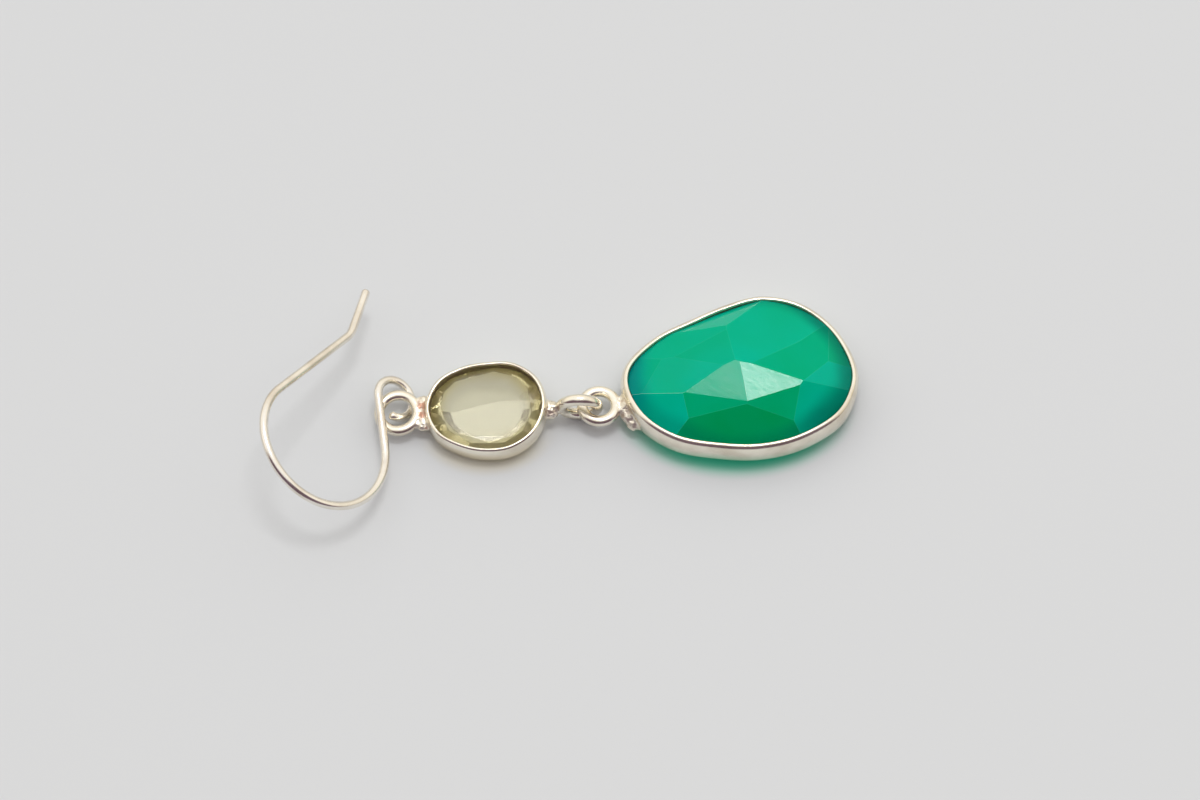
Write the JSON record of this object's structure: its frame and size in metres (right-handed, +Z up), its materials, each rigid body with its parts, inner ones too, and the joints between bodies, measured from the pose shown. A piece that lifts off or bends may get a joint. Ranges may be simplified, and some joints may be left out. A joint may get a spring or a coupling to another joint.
{
  "type": "drop earring",
  "caption": "Wire ear hook with a small pale faceted stone and a large green faceted stone, each in a polished wall setting, joined by rings and lying flat.",
  "frame": {"origin": "on the surface it lies on, under the middle of the whole earring", "axes": "+X from the ear hook to the green stone, +Z up from the surface, so +Y is to the side of the large stone's wide shoulder"},
  "size_m": [0.0472, 0.0206, 0.0089],
  "materials": {
    "ear_hook": "polished silver wire",
    "upper_setting": "polished silver with rough solder joints",
    "upper_stone": "clear faceted pale yellow quartz",
    "lower_setting": "polished silver with rough solder joints",
    "lower_stone": "polished faceted green onyx"
  },
  "bodies": {
    "root": {"ear_hook": "ear_hook", "upper_setting": "upper_setting", "upper_stone": "upper_stone", "lower_setting": "lower_setting", "lower_stone": "lower_stone"}
  },
  "joints": []
}
